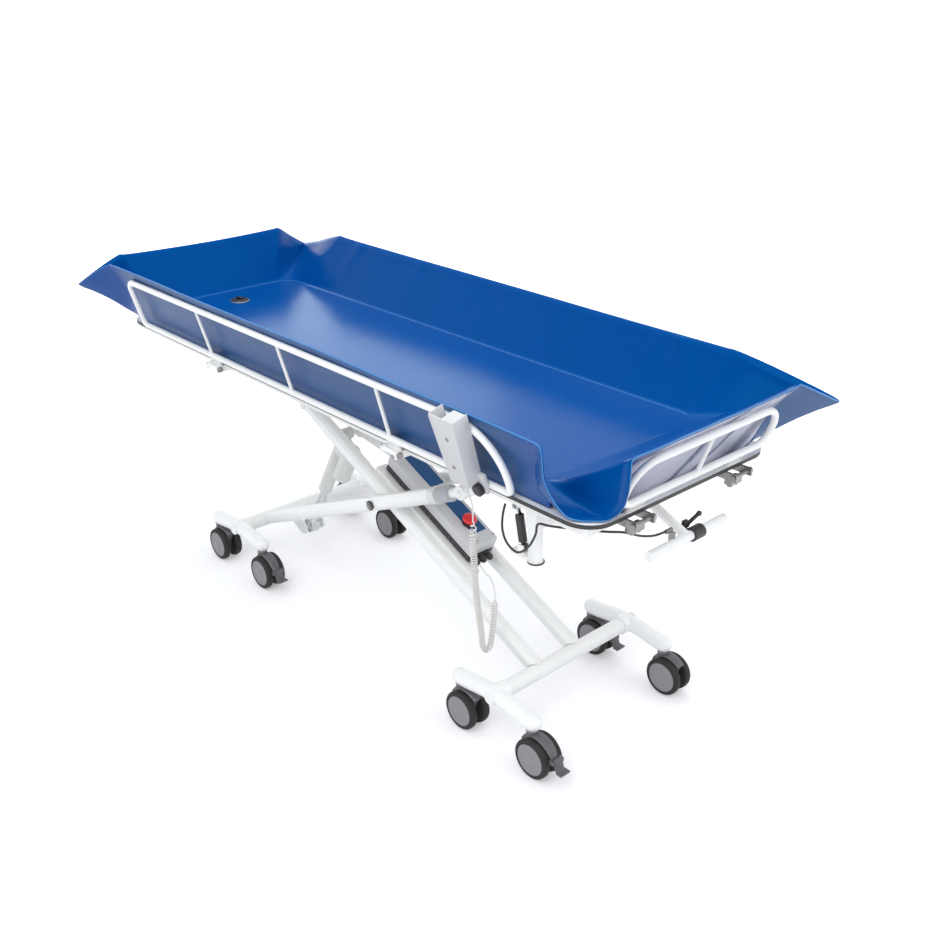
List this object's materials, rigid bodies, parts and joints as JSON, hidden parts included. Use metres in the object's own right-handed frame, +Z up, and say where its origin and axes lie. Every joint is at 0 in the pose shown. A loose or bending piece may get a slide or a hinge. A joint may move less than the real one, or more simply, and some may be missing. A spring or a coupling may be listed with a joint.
{
  "type": "shower trolley",
  "caption": "Height-adjustable shower trolley: scissor frame on rocking feet with twin castors, tilting tub deck, folding rails, wired handset.",
  "frame": {"origin": "on the floor under the middle of the overall box of the part without its cords", "axes": "+X along the deck towards the foot end with the T-handle, +Z up, -Y the side with the handset"},
  "size_m": [2.0772, 0.825, 0.908],
  "materials": {
    "white_frame": "satin white powder coat",
    "board_white": "white laminate with a dark edge",
    "grey_plastic": "dark grey moulded plastic",
    "tyre_grey": "grey castor tread with grey caps",
    "box_grey": "light grey",
    "black_plastic": "black",
    "bright_steel": "bright steel",
    "zinc_steel": "zinc plated",
    "cobalt_sheet": "cobalt blue coated sheet over foam",
    "signal_red": "red",
    "cord_black": "black cord"
  },
  "bodies": {
    "rear_foot_near": {"rear_foot_near": "white_frame"},
    "rear_foot_far": {"rear_foot_far": "white_frame"},
    "front_foot_near": {"front_foot_near": "white_frame"},
    "front_foot_far": {"front_foot_far": "white_frame"},
    "outer_frame": {"rear_cross_tube": "white_frame", "outer_arm_near": "white_frame", "outer_arm_far": "white_frame", "cross_pivot_shaft": "zinc_steel"},
    "inner_frame": {"front_cross_tube": "white_frame", "inner_arm_near": "white_frame", "inner_arm_far": "white_frame", "actuator_bracket": "white_frame", "control_box": "box_grey", "control_box_rail": "black_plastic", "handset_lead": "cord_black"},
    "emergency_stop": {"emergency_stop": "signal_red"},
    "actuator_body": {"actuator_body": "black_plastic"},
    "actuator_rod": {"actuator_rod": "bright_steel"},
    "subframe": {"subframe_channel_near": "white_frame", "subframe_channel_far": "white_frame", "subframe_crossbar": "white_frame", "top_pivot_shaft": "zinc_steel"},
    "gas_spring_cylinder": {"gas_spring_cylinder": "black_plastic"},
    "gas_spring_rod": {"gas_spring_rod": "bright_steel"},
    "deck": {"deck_board": "board_white", "deck_frame": "white_frame", "tub_liner": "cobalt_sheet", "drain_plug": "black_plastic", "t_handle": "white_frame", "handset_cord": "cord_black", "release_cable": "cord_black"},
    "release_lever": {"release_lever": "black_plastic"},
    "side_rail_near": {"side_rail_near": "white_frame", "handset_holder": "box_grey", "handset": "grey_plastic"},
    "side_rail_far": {"side_rail_far": "white_frame"},
    "clamp_knob": {"clamp_knob": "black_plastic"},
    "end_rail_head": {"end_rail_head": "white_frame"},
    "end_rail_foot": {"end_rail_foot": "white_frame"},
    "castor_rear_near_head_housing": {"castor_rear_near_head_housing": "grey_plastic"},
    "castor_rear_near_head_wheels": {"castor_rear_near_head_wheels": "tyre_grey"},
    "castor_rear_near_foot_housing": {"castor_rear_near_foot_housing": "grey_plastic"},
    "castor_rear_near_foot_wheels": {"castor_rear_near_foot_wheels": "tyre_grey"},
    "brake_pedal_rear_near": {"brake_pedal_rear_near": "grey_plastic"},
    "castor_rear_far_head_housing": {"castor_rear_far_head_housing": "grey_plastic"},
    "castor_rear_far_head_wheels": {"castor_rear_far_head_wheels": "tyre_grey"},
    "brake_pedal_rear_far": {"brake_pedal_rear_far": "grey_plastic"},
    "castor_rear_far_foot_housing": {"castor_rear_far_foot_housing": "grey_plastic"},
    "castor_rear_far_foot_wheels": {"castor_rear_far_foot_wheels": "tyre_grey"},
    "castor_front_near_head_housing": {"castor_front_near_head_housing": "grey_plastic"},
    "castor_front_near_head_wheels": {"castor_front_near_head_wheels": "tyre_grey"},
    "castor_front_near_foot_housing": {"castor_front_near_foot_housing": "grey_plastic"},
    "castor_front_near_foot_wheels": {"castor_front_near_foot_wheels": "tyre_grey"},
    "brake_pedal_front_near": {"brake_pedal_front_near": "grey_plastic"},
    "castor_front_far_head_housing": {"castor_front_far_head_housing": "grey_plastic"},
    "castor_front_far_head_wheels": {"castor_front_far_head_wheels": "tyre_grey"},
    "brake_pedal_front_far": {"brake_pedal_front_far": "grey_plastic"},
    "castor_front_far_foot_housing": {"castor_front_far_foot_housing": "grey_plastic"},
    "castor_front_far_foot_wheels": {"castor_front_far_foot_wheels": "tyre_grey"}
  },
  "joints": [
    {"name": "lift", "type": "hinge", "parent": "rear_foot_near", "child": "outer_frame", "pos_m": [-0.514, 0, 0.139], "axis": [0, -1, 0], "range_deg": [-10, 4], "deforming": ["handset_cord"]},
    {"name": "rear_foot_far_rock", "type": "hinge", "parent": "outer_frame", "child": "rear_foot_far", "pos_m": [-0.514, 0.2377, 0.139], "axis": [0, -1, 0], "range_deg": [-4.1, 10.1]},
    {"name": "scissor", "type": "hinge", "parent": "outer_frame", "child": "inner_frame", "pos_m": [0.059, 0, 0.4], "axis": [0, -1, 0], "range_deg": [-8.1, 20.1]},
    {"name": "front_foot_near_rock", "type": "hinge", "parent": "inner_frame", "child": "front_foot_near", "pos_m": [0.632, -0.2377, 0.139], "axis": [0, -1, 0], "range_deg": [-10.1, 4.1]},
    {"name": "front_foot_far_rock", "type": "hinge", "parent": "inner_frame", "child": "front_foot_far", "pos_m": [0.632, 0.2377, 0.139], "axis": [0, -1, 0], "range_deg": [-10.1, 4.1]},
    {"name": "subframe_level", "type": "hinge", "parent": "inner_frame", "child": "subframe", "pos_m": [-0.514, 0, 0.661], "axis": [0, -1, 0], "range_deg": [-10.1, 4.1]},
    {"name": "actuator_swing", "type": "hinge", "parent": "inner_frame", "child": "actuator_body", "pos_m": [-0.228, -0.025, 0.48], "axis": [0, -1, 0], "range_deg": [-25.56, 10.41]},
    {"name": "actuator_stroke", "type": "slide", "parent": "actuator_body", "child": "actuator_rod", "axis": [-0.4902, 0, -0.8716], "range_m": [-0.0955, 0.0388]},
    {"name": "tilt", "type": "hinge", "parent": "subframe", "child": "deck", "pos_m": [-0.514, 0, 0.661], "axis": [0, -1, 0], "range_deg": [0, 2], "deforming": ["handset_cord"]},
    {"name": "gas_spring_swing", "type": "hinge", "parent": "subframe", "child": "gas_spring_cylinder", "pos_m": [0.726, -0.25, 0.579], "axis": [0, -1, 0], "range_deg": [-3.7, 0.2]},
    {"name": "gas_spring_stroke", "type": "slide", "parent": "gas_spring_cylinder", "child": "gas_spring_rod", "axis": [-0.2102, 0, 0.9776], "range_m": [-0.001, 0.0435]},
    {"name": "side_rail_near_fold", "type": "hinge", "parent": "deck", "child": "side_rail_near", "pos_m": [-0.0266, -0.3187, 0.703], "axis": [1, 0, 0], "range_deg": [0, 165], "deforming": ["handset_cord"]},
    {"name": "side_rail_far_fold", "type": "hinge", "parent": "deck", "child": "side_rail_far", "pos_m": [-0.0266, 0.3187, 0.703], "axis": [-1, 0, 0], "range_deg": [0, 165]},
    {"name": "end_rail_foot_fold", "type": "hinge", "parent": "deck", "child": "end_rail_foot", "pos_m": [0.969, 0, 0.703], "axis": [0, 1, 0], "range_deg": [0, 145]},
    {"name": "end_rail_head_fold", "type": "hinge", "parent": "deck", "child": "end_rail_head", "pos_m": [-0.969, 0, 0.703], "axis": [0, -1, 0], "range_deg": [0, 160]},
    {"name": "clamp_knob_turn", "type": "hinge", "parent": "side_rail_near", "child": "clamp_knob", "pos_m": [0.683, -0.33598, 0.73053], "axis": [0, -0.9632, -0.2689], "continuous": true},
    {"name": "release_lever_press", "type": "hinge", "parent": "deck", "child": "release_lever", "pos_m": [0.9439, 0.02, 0.6228], "axis": [1, 0, 0], "range_deg": [-14, 0], "stiffness_Nm_per_rad": 0.4},
    {"name": "emergency_stop_push", "type": "slide", "parent": "inner_frame", "child": "emergency_stop", "axis": [0.4145, 0, 0.91], "range_m": [-0.005, 0], "stiffness_N_per_m": 900},
    {"name": "castor_rear_near_head_swivel", "type": "hinge", "parent": "rear_foot_near", "child": "castor_rear_near_head_housing", "pos_m": [-0.636, -0.2377, 0.1067], "axis": [0, 0, 1], "continuous": true},
    {"name": "castor_rear_near_head_roll", "type": "hinge", "parent": "castor_rear_near_head_housing", "child": "castor_rear_near_head_wheels", "pos_m": [-0.6135, -0.2377, 0.05], "axis": [0, 1, 0], "continuous": true},
    {"name": "castor_rear_near_foot_swivel", "type": "hinge", "parent": "rear_foot_near", "child": "castor_rear_near_foot_housing", "pos_m": [-0.392, -0.2377, 0.1067], "axis": [0, 0, 1], "continuous": true},
    {"name": "castor_rear_near_foot_roll", "type": "hinge", "parent": "castor_rear_near_foot_housing", "child": "castor_rear_near_foot_wheels", "pos_m": [-0.3695, -0.2377, 0.05], "axis": [0, 1, 0], "continuous": true},
    {"name": "brake_pedal_rear_near_press", "type": "hinge", "parent": "castor_rear_near_foot_housing", "child": "brake_pedal_rear_near", "pos_m": [-0.31074, -0.2377, 0.06909], "axis": [0, 1, 0], "range_deg": [0, 12]},
    {"name": "castor_rear_far_head_swivel", "type": "hinge", "parent": "rear_foot_far", "child": "castor_rear_far_head_housing", "pos_m": [-0.636, 0.2377, 0.1067], "axis": [0, 0, 1], "continuous": true},
    {"name": "castor_rear_far_head_roll", "type": "hinge", "parent": "castor_rear_far_head_housing", "child": "castor_rear_far_head_wheels", "pos_m": [-0.6135, 0.2377, 0.05], "axis": [0, 1, 0], "continuous": true},
    {"name": "brake_pedal_rear_far_press", "type": "hinge", "parent": "castor_rear_far_head_housing", "child": "brake_pedal_rear_far", "pos_m": [-0.55474, 0.2377, 0.06909], "axis": [0, 1, 0], "range_deg": [0, 12]},
    {"name": "castor_rear_far_foot_swivel", "type": "hinge", "parent": "rear_foot_far", "child": "castor_rear_far_foot_housing", "pos_m": [-0.392, 0.2377, 0.1067], "axis": [0, 0, 1], "continuous": true},
    {"name": "castor_rear_far_foot_roll", "type": "hinge", "parent": "castor_rear_far_foot_housing", "child": "castor_rear_far_foot_wheels", "pos_m": [-0.3695, 0.2377, 0.05], "axis": [0, 1, 0], "continuous": true},
    {"name": "castor_front_near_head_swivel", "type": "hinge", "parent": "front_foot_near", "child": "castor_front_near_head_housing", "pos_m": [0.51, -0.2377, 0.1067], "axis": [0, 0, 1], "continuous": true},
    {"name": "castor_front_near_head_roll", "type": "hinge", "parent": "castor_front_near_head_housing", "child": "castor_front_near_head_wheels", "pos_m": [0.5325, -0.2377, 0.05], "axis": [0, 1, 0], "continuous": true},
    {"name": "castor_front_near_foot_swivel", "type": "hinge", "parent": "front_foot_near", "child": "castor_front_near_foot_housing", "pos_m": [0.754, -0.2377, 0.1067], "axis": [0, 0, 1], "continuous": true},
    {"name": "castor_front_near_foot_roll", "type": "hinge", "parent": "castor_front_near_foot_housing", "child": "castor_front_near_foot_wheels", "pos_m": [0.7765, -0.2377, 0.05], "axis": [0, 1, 0], "continuous": true},
    {"name": "brake_pedal_front_near_press", "type": "hinge", "parent": "castor_front_near_foot_housing", "child": "brake_pedal_front_near", "pos_m": [0.83526, -0.2377, 0.06909], "axis": [0, 1, 0], "range_deg": [0, 12]},
    {"name": "castor_front_far_head_swivel", "type": "hinge", "parent": "front_foot_far", "child": "castor_front_far_head_housing", "pos_m": [0.51, 0.2377, 0.1067], "axis": [0, 0, 1], "continuous": true},
    {"name": "castor_front_far_head_roll", "type": "hinge", "parent": "castor_front_far_head_housing", "child": "castor_front_far_head_wheels", "pos_m": [0.5325, 0.2377, 0.05], "axis": [0, 1, 0], "continuous": true},
    {"name": "brake_pedal_front_far_press", "type": "hinge", "parent": "castor_front_far_head_housing", "child": "brake_pedal_front_far", "pos_m": [0.59126, 0.2377, 0.06909], "axis": [0, 1, 0], "range_deg": [0, 12]},
    {"name": "castor_front_far_foot_swivel", "type": "hinge", "parent": "front_foot_far", "child": "castor_front_far_foot_housing", "pos_m": [0.754, 0.2377, 0.1067], "axis": [0, 0, 1], "continuous": true},
    {"name": "castor_front_far_foot_roll", "type": "hinge", "parent": "castor_front_far_foot_housing", "child": "castor_front_far_foot_wheels", "pos_m": [0.7765, 0.2377, 0.05], "axis": [0, 1, 0], "continuous": true}
  ],
  "couplings": [
    {"joint": "rear_foot_far_rock", "follows": "lift", "ratio": -1},
    {"joint": "scissor", "follows": "lift", "ratio": -2},
    {"joint": "front_foot_near_rock", "follows": "lift", "ratio": 1},
    {"joint": "front_foot_far_rock", "follows": "lift", "ratio": 1},
    {"joint": "subframe_level", "follows": "lift", "ratio": 1},
    {"joint": "actuator_swing", "follows": "lift", "ratio": 2.5263},
    {"joint": "actuator_stroke", "follows": "lift", "m_per_rad": 0.5417},
    {"joint": "gas_spring_swing", "follows": "tilt", "ratio": -1.7582},
    {"joint": "gas_spring_stroke", "follows": "tilt", "m_per_rad": 1.2037}
  ]
}
